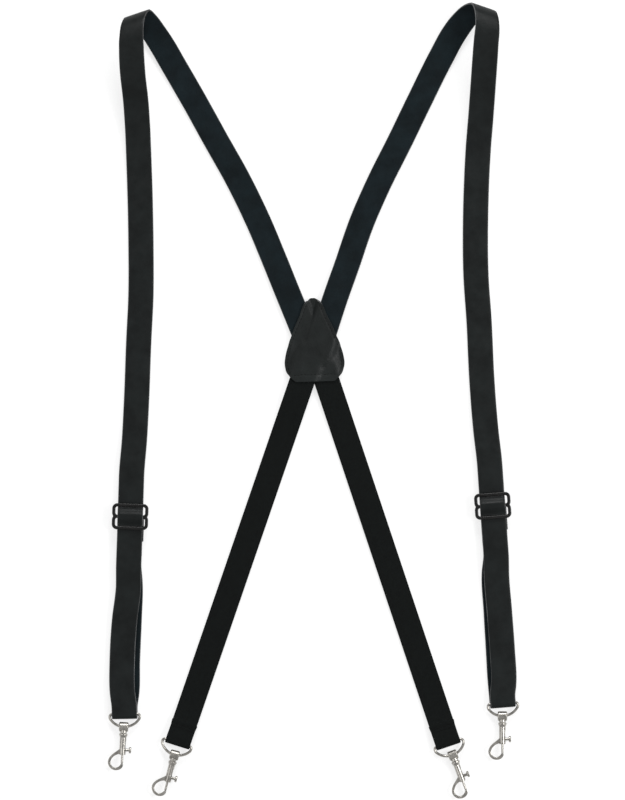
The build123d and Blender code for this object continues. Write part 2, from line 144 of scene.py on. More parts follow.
# Heights of an elastic in millimetres, by the distance from the patch or to the ring
ELASTIC_IN_PATCH = (0, 18, 32)
ELASTIC_DESCENT = [(60, 0.9), (120, 0.7)]
ELASTIC_MIDDLE_SHARE, ELASTIC_MIDDLE_Z = 0.62, 0.7
ELASTIC_RISE = [(52, 0.75), (30, 1.3), (20.0, 2.6), (8, 4.6)]
TAIL_LENGTH = 15.8          # sewn tail under the end of an elastic

# Lengths in metres
STRAP_COLUMNS = 10
SHOULDER_STEP = 0.0024      # distance between the rows of a mesh
WEAVE_ROW_STEP = 0.0005
STRAP_STEP = 0.002
ELASTIC_STEP = 0.0012
TAIL_STEP = 0.0015
PATCH_STEP = 0.0012
FRONT_LEAD = 0.005          # straight stretch before a strap turns round its ring
REAR_LEAD = 0.003
TAIL_BEND = 0.007           # where the tail starts to run along the table
TAIL_DROP = 0.0004
TAIL_END_Z = 0.00075
THINNED = 0.0002            # how much thinner the leather is in an adjuster
RIDGE_HEIGHT = 0.0007       # of an elastic over the raw end of its tail
RIDGE_SPREAD = 0.0013
ELASTIC_FLARE = 0.05        # share by which the raw end of an elastic spreads
FLARE_ROWS = 3
TACK_ROWS = (0.0128, 0.0108)    # rows of dense stitches, from the ring
TACK_WIDTH = 0.0155
TACK_COUNT = 14
TACK_FILL = 0.42            # length of a dense stitch over the pitch

# How far a strap's width is held square to a fold, and where the hold has faded, in metres
SHOULDER_HOLD, SHOULDER_FADE = 0.018, 0.045
TURN_HOLD, TURN_FADE = 0.006, 0.016
LEVEL_HOLD, LEVEL_FADE = 100, 101   # held all along

PATCH_TIP = (-1.0, 77.2, 0)
PATCH_TURN = 1.8
PATCH_HALF = [(0, 0, 0), (3.2, 5.6, 0), (14, 10.6, 0), (23.5, 15, 0), (33, 18.6, 0),
              (43, 21.7, 0), (50, 22.4, 0), (57, 20, 0), (62.6, 14.6, 0)]
PATCH_COLUMNS = 36
PATCH_MAP_SIZE = 0.019
PATCH_SMOOTHINGS = 4
PATCH_EDGE_ROUND = 0.0003
HALF_LEATHER, HALF_ELASTIC = 0.75, 0.7      # millimetres
LEAF_GAP = 0.00015          # between the two leaves
LAYER_GAP = 0.0002          # between the front leaf and a strap under it
SAME_PLACE = 0.00002        # points of the leaf this close are one

# Seams of the patch, in metres
RIM_INSET = 0.0022
FOOT_INSET = 0.0052
FOOT_SIDE_INSET = 0.0035
RIM_START, RIM_STOP = 0.004, 0.0055
FOOT_SPOTS = 12
FOOT_WANDER, FOOT_WANDER_TURN = 0.0004, 1.7
GROOVE_STEP = 0.0006
GROOVE_DEPTH = 0.00028
GROOVE_SPREAD = 0.0009
STITCH_LIFT = 0.00055
STITCH_FILL = 0.72          # length of a stitch over the pitch

METAL_NODES = 26

# Stage, in metres
FLOOR_HALF = 8.0
FLOOR_GAP = 0.0002
LAMPS = {"key": ((1.65, 0.05, 1.7), 1.0), "top": ((0.15, 1.9, 1.5), 0.9),
         "fill": ((-1.9, -0.6, 2.0), 1.8)}      # place and side
VIEW_CENTRE = (-0.00105, 0.00075, 0)
SENSOR_WIDTH = 36.0         # millimetres
VIEW_END = 100.0
WHITE = (1.0, 1.0, 1.0, 1)


# ---------------------------------------------------------------- lines and frames

def spots(points):
    """Points given in millimetres, as vectors in metres"""
    return [Vector(point) * MM for point in points]


def heading(angle):
    """Direction on the table, from -Y turned towards +X by an angle in degrees"""
    return Vector((math.sin(math.radians(angle)), -math.cos(math.radians(angle)), 0))


def right_of(direction):
    """Direction square to another one on the table, to +X when that one points to -Y"""
    return Vector((-direction.y, direction.x, 0))


def smooth(points, step):
    """Even samples of the smooth curve through a few points"""
    finest = 24
    chords = [b - a for a, b in zip(points, points[1:])]
    ways = []
    for before, after in zip(chords, chords[1:]):
        a, b = before.length, after.length
        ways.append((before.normalized() * b + after.normalized() * a) / (a + b))
    ways.insert(0, chords[0].normalized() * 1.5 - ways[0] * 0.5)
    ways.append(chords[-1].normalized() * 1.5 - ways[-1] * 0.5)
    line = [points[0]]
    for i, chord in enumerate(chords):
        third = chord.length / 3
        line += interpolate_bezier(
            points[i], points[i] + ways[i] * third,
            points[i + 1] - ways[i + 1] * third, points[i + 1], finest)[1:]
    return even(line, step)


def even(line, step):
    """The same line with its points evenly spaced"""
    lengths = [0.0]
    for a, b in zip(line, line[1:]):
        lengths.append(lengths[-1] + (b - a).length)
    count = max(2, round(lengths[-1] / step))
    found, at = [], 0
    for i in range(count + 1):
        goal = lengths[-1] * i / count
        while at < len(line) - 2 and lengths[at + 1] < goal:
            at += 1
        share = (goal - lengths[at]) / max(lengths[at + 1] - lengths[at], 1e-9)
        found.append(line[at].lerp(line[at + 1], min(1.0, share)))
    return found


def strap_stations(course, fold):
    """Place, across direction, outward direction and length so far at each point of a strap

    Near its fold the strap's width lies along the fold's own across direction."""
    across, hold, fade = fold["across"], fold["hold"], fold["fade"]
    stations, travelled, last = [], 0.0, len(course) - 1
    for i, point in enumerate(course):
        run = (course[min(i + 1, last)] - course[max(i - 1, 0)]).normalized()
        level = Vector((-run.y, run.x, 0)) + across * 1e-6
        if level.dot(across) < 0:
            level.negate()
        level.normalize()
        grip = max(0.0, min(1.0, (fade - (point - fold["at"]).length) / (fade - hold)))
        side = (level * (1 - grip) + across * grip).normalized()
        if i:
            travelled += (point - course[i - 1]).length
        stations.append((point, side, run.cross(side).normalized(), travelled))
    return stations


def round_ring(top, under, direction, reach, radius, thick):
    """Middle line of a strap turned round a ring bar"""
    straight = reach - radius - thick / 2
    line = []
    for i in range(FOLD_STEPS + 1):
        turn = math.pi * i / FOLD_STEPS
        place = top.lerp(under, i / FOLD_STEPS) + direction * (straight + radius * math.sin(turn))
        line.append(Vector((place.x, place.y, BAR_CENTRE_Z + radius * math.cos(turn))))
    return line


def loop_radius(thick):
    """From the middle of a ring's bar to the middle of the strap around it"""
    return RING_WIRE / 2 * MM + LOOP_GAP * MM + thick / 2


def turn_of(direction, line):
    """Fold of a strap round the bar of its ring"""
    return dict(
        across=right_of(direction), at=line[FOLD_STEPS // 2], hold=TURN_HOLD, fade=TURN_FADE)


def level_run(side, start, stop, height):
    """Points of a straight level stretch beside an adjuster"""
    slide = Vector(SLIDES[side]["at"])
    run = heading(SLIDES[side]["turn"])
    count = max(1, round(abs(stop - start) / LEVEL_STEP))
    places = [start + (stop - start) * i / count for i in range(count + 1)]
    return [(slide + run * place + Vector((0, 0, height))) * MM for place in places]


# ---------------------------------------------------------------- meshes

def finish_piece(name, mesh_work, body, nodes, materials):
    """Turn a worked mesh into a piece that rides on a body and stands for CAD nodes"""
    mesh = bpy.data.meshes.new(name)
    mesh_work.to_mesh(mesh)
    mesh_work.free()
    piece = bpy.data.objects.new(name, mesh)
    bpy.context.scene.collection.objects.link(piece)
    for material in materials:
        mesh.materials.append(material)
    mesh.polygons.foreach_set("use_smooth", [True] * len(mesh.polygons))
    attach(piece, body)
    if nodes:
        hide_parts(*nodes)
    return piece


def lay_strip(stations, width, crown, flare):
    """Grid laid along a strap's stations, its map measured in strap widths

    Crown lets the two edges fall away, and flare widens the last rows."""
    work = bmesh.new()
    rows = len(stations) - 1
    bmesh.ops.create_grid(work, x_segments=rows, y_segments=STRAP_COLUMNS, size=1.0)
    map_layer = work.loops.layers.uv.new("strip")
    where = {}
    for vert in work.verts:
        row = round((vert.co.x + 1) / 2 * rows)
        share = vert.co.y
        where[vert] = (stations[row][3] / width, (share + 1) / 2)
        place, side, out, _ = stations[row]
        widened = width * (1 + flare * max(0.0, 1 - (rows - row) / FLARE_ROWS))
        vert.co = place + side * (share * widened / 2) - out * (crown * share ** 4)
    for face in work.faces:
        for loop in face.loops:
            loop[map_layer].uv = where[loop.vert]
    return work


def thicken(piece, thickness, edge_round):
    """Give a strip its thickness, with the lining and the cut edge on their own materials"""
    solid = piece.modifiers.new("thickness", "SOLIDIFY")
    solid.thickness = thickness
    solid.offset = 0
    solid.use_even_offset = True
    solid.material_offset = LINING
    solid.material_offset_rim = CUT_EDGE
    bevel = piece.modifiers.new("rounded edge", "BEVEL")
    bevel.width = edge_round
    bevel.segments = 2
    bevel.limit_method = "ANGLE"
    bevel.angle_limit = math.radians(50)
    bevel.material = CUT_EDGE


def strap_piece(name, body, node, course, fold, thickness, finishes, flare=0.0):
    """Strap or elastic along a course, at the set width and the given thickness"""
    settings = bpy.context.scene.suspenders_straps
    stations = strap_stations(course, fold)
    work = lay_strip(stations, settings.width, settings.crown, flare)
    piece = finish_piece(name, work, body, [node], finishes)
    thicken(piece, thickness, settings.edge_round)
    return stations


def stitches(name, spans):
    """Short rounded stitches, one for each (middle, along, outward, length) span"""
    settings = bpy.context.scene.suspenders_stitching
    pressed_flat = 0.8
    work = bmesh.new()
    for middle, along, out, length in spans:
        made = bmesh.ops.create_uvsphere(work, u_segments=6, v_segments=5, radius=0.5)
        across = out.cross(along).normalized()
        turn = Matrix((along.normalized(), across, out.normalized())).transposed().to_4x4()
        size = Matrix.Diagonal((length, settings.thread, settings.thread * pressed_flat, 1))
        upright = Matrix.Rotation(math.pi / 2, 4, "Y")
        bmesh.ops.transform(
            work, verts=made["verts"], matrix=Matrix.Translation(middle) @ turn @ size @ upright)
    finish_piece(name, work, "root", [], [thread_finish()])


# ---------------------------------------------------------------- materials

def blank(name):
    """New material, its nodes, its links and its shader"""
    material = bpy.data.materials.new(name)
    material.use_nodes = True
    tree = material.node_tree
    return material, tree.nodes, tree.links, tree.nodes["Principled BSDF"]


def noise(nodes, links, place, scale, detail, rough):
    """Cloudy value at a place, with the size of its clouds given as a scale"""
    node = nodes.new("ShaderNodeTexNoise")
    node.inputs["Scale"].default_value = scale
    node.inputs["Detail"].default_value = detail
    node.inputs["Roughness"].default_value = rough
    links.new(place, node.inputs["Vector"])
    return node.outputs["Fac"]


def spread(nodes, links, value, low, high, start=0.3, stop=0.7):
    """A value brought from one range to another"""
    node = nodes.new("ShaderNodeMapRange")
    node.inputs["From Min"].default_value = start
    node.inputs["From Max"].default_value = stop
    node.inputs["To Min"].default_value = low
    node.inputs["To Max"].default_value = high
    links.new(value, node.inputs["Value"])
    return node.outputs["Result"]


def tones(nodes, links, value, colour, low, high, start=0.35, stop=0.65):
    """Two strengths of one colour, shared out by a value"""
    node = nodes.new("ShaderNodeValToRGB")
    ends = node.color_ramp.elements
    ends[0].position, ends[1].position = start, stop
    ends[0].color = [*[part * low for part in colour[:3]], 1]
    ends[1].color = [*[min(1.0, part * high) for part in colour[:3]], 1]
    links.new(value, node.inputs["Fac"])
    return node.outputs["Color"]


def sum_of(nodes, links, first, second, share):
    """One value with a share of another added to it"""
    node = nodes.new("ShaderNodeMath")
    node.operation = "MULTIPLY_ADD"
    links.new(second, node.inputs[0])
    node.inputs[1].default_value = share
    links.new(first, node.inputs[2])
    return node.outputs["Value"]


def relief(nodes, links, height, shader, depth, strength):
    """Let a height, with its full depth in metres, tilt the surface's light"""
    node = nodes.new("ShaderNodeBump")
    node.inputs["Distance"].default_value = depth
    node.inputs["Strength"].default_value = strength
    links.new(height, node.inputs["Height"])
    links.new(node.outputs["Normal"], shader.inputs["Normal"])


def coordinates(nodes, kind):
    """Place on the surface, on the object's own axes or on its map"""
    return nodes.new("ShaderNodeTexCoord").outputs[kind]


def leather(name, colour, grain, depth, rough, gloss, sheen=0.0):
    """Grained leather: pebbles, creases, uneven tone and uneven gloss"""
    material, nodes, links, shader = blank(name)
    place = coordinates(nodes, "Object")
    cells = nodes.new("ShaderNodeTexVoronoi")
    cells.feature = "SMOOTH_F1"
    cells.inputs["Scale"].default_value = grain
    cells.inputs["Smoothness"].default_value = 0.6
    links.new(place, cells.inputs["Vector"])
    creases = noise(nodes, links, place, grain * 0.28, 4.0, 0.6)
    height = sum_of(nodes, links, cells.outputs["Distance"], creases, 0.9)
    relief(nodes, links, height, shader, depth, 0.6)
    patches = noise(nodes, links, place, 55.0, 5.0, 0.62)
    tone = tones(nodes, links, patches, colour, 0.72, 1.35)
    links.new(tone, shader.inputs["Base Color"])
    wear = noise(nodes, links, place, 190.0, 4.0, 0.55)
    links.new(spread(nodes, links, wear, rough - 0.07, rough + 0.1), shader.inputs["Roughness"])
    shader.inputs["Specular IOR Level"].default_value = gloss
    shader.inputs["Sheen Weight"].default_value = sheen
    return material


def cut_edge(name, colour):
    """Bare fibres and dye along the cut side of a strap"""
    material, nodes, links, shader = blank(name)
    place = coordinates(nodes, "Object")
    fibres = noise(nodes, links, place, 900.0, 4.0, 0.7)
    worn = noise(nodes, links, place, 34.0, 5.0, 0.65)
    tone = tones(nodes, links, worn, colour, 0.25, 1.5, 0.38, 0.62)
    links.new(tone, shader.inputs["Base Color"])
    links.new(spread(nodes, links, fibres, 0.5, 0.75), shader.inputs["Roughness"])
    relief(nodes, links, fibres, shader, 0.0001, 0.5)
    shader.inputs["Specular IOR Level"].default_value = 0.5
    return material


def webbing(name, colour):
    """Woven elastic: ribs along it, yarns across it, matt with a little fuzz. The weave's height
    also darkens the valleys between the yarns and lightens their tops: painted shade.
    """
    material, nodes, links, shader = blank(name)
    strip = coordinates(nodes, "UV")
    heights = []
    for direction, scale, bend in (("Y", 9.1, 0.0), ("X", 10.4, 1.2)):
        wave = nodes.new("ShaderNodeTexWave")
        wave.wave_type = "BANDS"
        wave.bands_direction = direction
        wave.inputs["Scale"].default_value = scale
        wave.inputs["Distortion"].default_value = bend
        wave.inputs["Detail"].default_value = 0.0
        links.new(strip, wave.inputs["Vector"])
        heights.append(wave.outputs["Fac"])
    woven = sum_of(nodes, links, heights[0], heights[1], 0.55)
    relief(nodes, links, woven, shader, 0.00022, 0.6)
    place = coordinates(nodes, "Object")
    fuzz = noise(nodes, links, place, 420.0, 4.0, 0.6)
    # Painted shade: the weave's height also sets the colour, darker in the valleys between the
    # yarns and lighter on their tops
    mixed = sum_of(nodes, links, fuzz, woven, 0.35)
    links.new(tones(nodes, links, mixed, colour, 0.55, 1.5, 0.5, 1.1), shader.inputs["Base Color"])
    links.new(spread(nodes, links, fuzz, 0.72, 0.92), shader.inputs["Roughness"])
    shader.inputs["Specular IOR Level"].default_value = 0.09
    shader.inputs["Sheen Weight"].default_value = 0.015
    return material


def plated(name, colour, rough, scratches):
    """Plated metal: fine scratches, cloudy gloss and faint tarnish"""
    material, nodes, links, shader = blank(name)
    place = coordinates(nodes, "Object")
    stretch = nodes.new("ShaderNodeMapping")
    stretch.inputs["Scale"].default_value = (1.0, 0.12, 1.0)
    links.new(place, stretch.inputs["Vector"])
    lines = noise(nodes, links, stretch.outputs["Vector"], scratches, 3.0, 0.6)
    clouds = noise(nodes, links, place, 260.0, 4.0, 0.6)
    links.new(tones(nodes, links, clouds, colour, 0.74, 1.12), shader.inputs["Base Color"])
    mixed = sum_of(nodes, links, clouds, lines, 0.5)
    gloss = spread(nodes, links, mixed, rough - 0.06, rough + 0.14, 0.5, 1.0)
    links.new(gloss, shader.inputs["Roughness"])
    relief(nodes, links, lines, shader, 0.00003, 0.35)
    shader.inputs["Metallic"].default_value = 1.0
    return material


def lacquer(name, colour):
    """Black baked lacquer with a light orange peel and rubbed spots"""
    material, nodes, links, shader = blank(name)
    place = coordinates(nodes, "Object")
    peel = noise(nodes, links, place, 620.0, 2.0, 0.4)
    rubbed = noise(nodes, links, place, 130.0, 5.0, 0.6)
    relief(nodes, links, peel, shader, 0.00005, 0.4)
    links.new(tones(nodes, links, rubbed, colour, 0.7, 1.8), shader.inputs["Base Color"])
    links.new(spread(nodes, links, rubbed, 0.2, 0.36), shader.inputs["Roughness"])
    shader.inputs["Specular IOR Level"].default_value = 0.22
    shader.inputs["Coat Weight"].default_value = 0.25
    shader.inputs["Coat Roughness"].default_value = 0.14
    return material


def thread_finish():
    """Waxed black thread with a twist"""
    found = bpy.data.materials.get("waxed_thread")
    if found:
        return found
    material, nodes, links, shader = blank("waxed_thread")
    place = coordinates(nodes, "Object")
    twist = noise(nodes, links, place, 2600.0, 2.0, 0.5)
    colour = bpy.context.scene.suspenders_stitching.colour
    links.new(tones(nodes, links, twist, colour, 0.6, 1.6), shader.inputs["Base Color"])
    links.new(spread(nodes, links, twist, 0.5, 0.75), shader.inputs["Roughness"])
    relief(nodes, links, twist, shader, 0.0001, 0.5)
    shader.inputs["Specular IOR Level"].default_value = 0.12
    return material


def strap_finishes():
    """Coated face, bare lining and cut edge of the strap leather"""
    if "strap_face" not in bpy.data.materials:
        settings = bpy.context.scene.suspenders_straps
        leather(
            "strap_face", settings.face_colour, grain=1500.0, depth=0.00005, rough=0.4, gloss=0.17)
        leather(
            "strap_lining", settings.lining_colour, grain=1100.0, depth=0.00009, rough=0.66,
            gloss=0.1, sheen=0.01)
        cut_edge("strap_cut_edge", settings.edge_colour)
    return [bpy.data.materials[name] for name in ("strap_face", "strap_lining", "strap_cut_edge")]


# ---------------------------------------------------------------- settings

class SuspendersStraps(bpy.types.PropertyGroup):
    """Size and colours of the straps and elastics"""
    width: bpy.props.FloatProperty(
        name="Width", description="Width of the straps and elastics", default=0.019,
        unit="LENGTH", min=0.012, max=0.03)
    leather_thickness: bpy.props.FloatProperty(
        name="Leather Thickness", description="Thickness of the strap leather", default=0.0015,
        unit="LENGTH", min=0.0008, max=0.002)
    elastic_thickness: bpy.props.FloatProperty(
        name="Elastic Thickness", description="Thickness of the elastic", default=0.0014,
        unit="LENGTH", min=0.0008, max=0.002)
    edge_round: bpy.props.FloatProperty(
        name="Edge Round", description="Rounding of the cut edges", default=0.00042,
        unit="LENGTH", min=0.0001, max=0.0006)
    crown: bpy.props.FloatProperty(
        name="Crown", description="How far the strap's edges fall away", default=0.0001,
        unit="LENGTH", min=0.0, max=0.0005)
    face_colour: bpy.props.FloatVectorProperty(
        name="Face Colour", description="Coated face of the strap leather",
        default=(0.0062, 0.0079, 0.0079), subtype="COLOR", size=3, min=0.0, max=1.0)
    lining_colour: bpy.props.FloatVectorProperty(
        name="Lining Colour", description="Bare inner face of the strap leather",
        default=(0.0042, 0.0082, 0.0102), subtype="COLOR", size=3, min=0.0, max=1.0)
    edge_colour: bpy.props.FloatVectorProperty(
        name="Edge Colour", description="Cut edge of the strap leather",
        default=(0.075, 0.076, 0.078), subtype="COLOR", size=3, min=0.0, max=1.0)
    elastic_colour: bpy.props.FloatVectorProperty(
        name="Elastic Colour", description="Yarn of the elastic",
        default=(0.0042, 0.0052, 0.005), subtype="COLOR", size=3, min=0.0, max=1.0)


class SuspendersPatch(bpy.types.PropertyGroup):
    """Size and colour of the back patch"""
    thickness: bpy.props.FloatProperty(
        name="Thickness", description="Thickness of each leaf of the back patch", default=0.0012,
        unit="LENGTH", min=0.0008, max=0.0016)
    hang: bpy.props.FloatProperty(
        name="Edge Fall", description="Distance over which the leaf falls beside a strap",
        default=0.004, unit="LENGTH", min=0.001, max=0.01)
    colour: bpy.props.FloatVectorProperty(
        name="Colour", description="Leather of the back patch",
        default=(0.0072, 0.0092, 0.009), subtype="COLOR", size=3, min=0.0, max=1.0)


class SuspendersStitching(bpy.types.PropertyGroup):
    """Size and colour of the sewing"""
    thread: bpy.props.FloatProperty(
        name="Thread", description="Thickness of the sewing thread", default=0.00055,
        unit="LENGTH", min=0.0003, max=0.001)
    pitch: bpy.props.FloatProperty(
        name="Pitch", description="Distance from stitch to stitch", default=0.0026,
        unit="LENGTH", min=0.0015, max=0.006)
    colour: bpy.props.FloatVectorProperty(
        name="Colour", description="Sewing thread", default=(0.0022, 0.0022, 0.0022),
        subtype="COLOR", size=3, min=0.0, max=1.0)


class SuspendersMetal(bpy.types.PropertyGroup):
    """Colours of the metal parts"""
    nickel: bpy.props.FloatVectorProperty(
        name="Nickel", description="Plating of the snap hooks and rings",
        default=(0.42, 0.405, 0.375), subtype="COLOR", size=3, min=0.0, max=1.0)
    steel: bpy.props.FloatVectorProperty(
        name="Spring Steel", description="Wire of the bolt springs",
        default=(0.3, 0.3, 0.31), subtype="COLOR", size=3, min=0.0, max=1.0)
    black: bpy.props.FloatVectorProperty(
        name="Lacquer", description="Lacquer of the adjusters",
        default=(0.003, 0.003, 0.003), subtype="COLOR", size=3, min=0.0, max=1.0)


class SuspendersStage(bpy.types.PropertyGroup):
    """Floor, light and camera"""
    floor: bpy.props.FloatVectorProperty(
        name="Floor", description="Colour of the floor", default=(0.35, 0.35, 0.35),
        subtype="COLOR", size=3, min=0.0, max=1.0)
    glow: bpy.props.FloatProperty(
        name="Floor Glow", description="Light that the lit table gives by itself", default=0.7,
        min=0.0, max=1.0)
    world: bpy.props.FloatProperty(
        name="Surroundings", description="Brightness of the room", default=0.5, min=0.0, max=2.0)
    key: bpy.props.FloatProperty(
        name="Key Light", description="Power of the light from the right", default=26.0,
        unit="POWER", min=0.0)
    top: bpy.props.FloatProperty(
        name="Top Light", description="Power of the light beyond the shoulder folds",
        default=24.0, unit="POWER", min=0.0)
    fill: bpy.props.FloatProperty(
        name="Fill Light", description="Power of the light from the left", default=14.0,
        unit="POWER", min=0.0)
    lens: bpy.props.FloatProperty(
        name="Lens", description="Focal length in millimetres", default=300.0, min=50.0, max=500.0)
    view_height: bpy.props.FloatProperty(
        name="View Height", description="Stretch of table that the camera sees, top to bottom",
        default=0.6, unit="LENGTH", min=0.1, max=2.0)


# ---------------------------------------------------------------- operators

class SUSPENDERS_OT_shoulder_straps(bpy.types.Operator):
    """Lay both leather straps from the patch over the shoulder folds to the adjusters"""
    bl_idname = "suspenders.shoulder_straps"
    bl_label = "Shoulder Straps"

    def execute(self, context):
        settings = context.scene.suspenders_straps
        for side, route in ROUTES.items():
            angle = math.radians(FOLDS[side]["angle"])
            fold = dict(
                across=Vector((math.cos(angle), math.sin(angle), 0)),
                at=Vector(FOLDS[side]["at"]) * MM, hold=SHOULDER_HOLD, fade=SHOULDER_FADE)
            points = spots(route) + level_run(side, *ROOT_RUN, ROOT_RUN_Z)
            strap_piece(
                f"{side}_shoulder_leather", "root", f"{side}_shoulder_strap",
                smooth(points, SHOULDER_STEP), fold, settings.leather_thickness,
                strap_finishes())
        return {"FINISHED"}


class SUSPENDERS_OT_adjuster_straps(bpy.types.Operator):
    """Weave the strap through both adjusters and lay the sewn ends beneath them"""
    bl_idname = "suspenders.adjuster_straps"
    bl_label = "Adjuster Straps"

    def execute(self, context):
        settings = context.scene.suspenders_straps
        thin = settings.leather_thickness - THINNED
        for side, slide in SLIDES.items():
            run = heading(slide["turn"])
            middle = Vector(slide["at"])
            across = right_of(run)
            level = dict(across=across, at=Vector((0, 0, 0)), hold=LEVEL_HOLD, fade=LEVEL_FADE)
            over = [middle + run * x + Vector((0, 0, z)) for x, z in WEAVE_SHAPE]
            strap_piece(
                f"{side}_weave_leather", f"{side}_adjuster", f"{side}_strap_weave",
                smooth(spots(over), WEAVE_ROW_STEP), level, thin, strap_finishes())
            aside = across * TAB_ASIDE + Vector((0, 0, TAB_Z))
            beneath = [middle + run * x + aside for x in TAB_PLACES]
            strap_piece(
                f"{side}_anchor_leather", f"{side}_adjuster", f"{side}_anchor_tab",
                smooth(spots(beneath), STRAP_STEP), level, thin, strap_finishes())
        return {"FINISHED"}


class SUSPENDERS_OT_strap_ends(bpy.types.Operator):
    """Turn the lower ends of both straps round the front rings"""
    bl_idname = "suspenders.strap_ends"
    bl_label = "Strap Ends"

    def execute(self, context):
        thick = context.scene.suspenders_straps.leather_thickness
        radius = loop_radius(thick)
        for side, end in FRONT_ENDS.items():
            direction = heading(end["ring"])
            bar = Vector(end["bar"]) * MM + Vector((0, 0, BAR_CENTRE_Z))
            top = bar + right_of(direction) * (end["top"] * MM) + Vector((0, 0, radius))
            under = bar + right_of(direction) * (end["under"] * MM) - Vector((0, 0, radius))
            turn = round_ring(top, under, direction, end["reach"] * MM, radius, thick)
            down = level_run(side, *END_RUN, FRONT_RUN_Z) + spots(FRONT_RUNS[side])
            down += [top - direction * FRONT_LEAD, top]
            up = [under, under - direction * FRONT_LEAD] + spots(BACK_RUNS[side])
            up += level_run(side, *reversed(END_RUN), BACK_RUN_Z)
            course = smooth(down, STRAP_STEP)[:-1] + turn + smooth(up, STRAP_STEP)[1:]
            strap_piece(
                f"{side}_end_leather", f"{side}_strap_end", f"{side}_strap_end", course,
                turn_of(direction, turn), thick, strap_finishes())
        return {"FINISHED"}


class SUSPENDERS_OT_back_elastics(bpy.types.Operator):
    """Lay both elastics from the patch to the rear rings, with their sewn tails"""
    bl_idname = "suspenders.back_elastics"
    bl_label = "Back Elastics"

    def execute(self, context):
        settings = context.scene.suspenders_straps
        finish = webbing("elastic_webbing", settings.elastic_colour)
        thick = settings.elastic_thickness
        radius = loop_radius(thick)
        for side, end in REAR_ENDS.items():
            direction = heading(end["ring"])
            flat_bar = Vector(end["bar"]) * MM + right_of(direction) * (end["top"] * MM)
            start = Vector(end["start"]) * MM
            way = (flat_bar - start).normalized()
            heights = self.heights((flat_bar - start).length / MM, end["height"])
            down = [start + way * (x * MM) + Vector((0, 0, z * MM)) for x, z in heights]
            top = flat_bar + Vector((0, 0, BAR_CENTRE_Z + radius))
            under = flat_bar + Vector((0, 0, BAR_CENTRE_Z - radius))
            turn = round_ring(top, under, direction, end["reach"] * MM, radius, thick)
            tail = [under, under - way * TAIL_BEND - Vector((0, 0, TAIL_DROP)),
                    flat_bar - way * (TAIL_LENGTH * MM) + Vector((0, 0, TAIL_END_Z))]
            descent = self.ridged(smooth(down + [top - direction * REAR_LEAD, top], ELASTIC_STEP))
            course = descent[:-1] + turn + smooth(tail, TAIL_STEP)[1:]
            stations = strap_piece(
                f"{side}_elastic_webbing", "root", f"{side}_back_elastic", course,
                turn_of(direction, turn), thick, [finish, finish, finish],
                ELASTIC_FLARE)
            self.bar_tack(side, stations[:len(descent)], thick)
        return {"FINISHED"}

    def heights(self, length, layer):
        """Distance from the patch and height of each bend, down to just before the ring"""
        middle = [(ELASTIC_MIDDLE_SHARE * length, ELASTIC_MIDDLE_Z)]
        rise = [(length - before, height) for before, height in ELASTIC_RISE]
        return [(place, layer) for place in ELASTIC_IN_PATCH] + ELASTIC_DESCENT + middle + rise

    def ridged(self, line):
        """The same line, lifted over the raw end of the tail beneath it"""
        travelled, lifted = 0.0, []
        for i in range(len(line) - 1, -1, -1):
            if i < len(line) - 1:
                travelled += (line[i + 1] - line[i]).length
            past_tail = (travelled - TAIL_LENGTH * MM) / RIDGE_SPREAD
            lift = RIDGE_HEIGHT * math.exp(-past_tail ** 2)
            lifted.insert(0, line[i] + Vector((0, 0, lift)))
        return lifted

    def bar_tack(self, side, stations, thick):
        """Two short rows of dense stitches that hold the tail"""
        settings = bpy.context.scene.suspenders_stitching
        spans = []
        for back in TACK_ROWS:
            place, across, out, _ = min(
                stations, key=lambda one: abs(stations[-1][3] - one[3] - back))
            for i in range(TACK_COUNT):
                share = (i + 0.5) / TACK_COUNT - 0.5
                middle = place + across * (share * TACK_WIDTH) + out * (thick / 2)
                spans.append((middle, across, out, settings.pitch * TACK_FILL))
        stitches(f"{side}_elastic_bar_tack", spans)


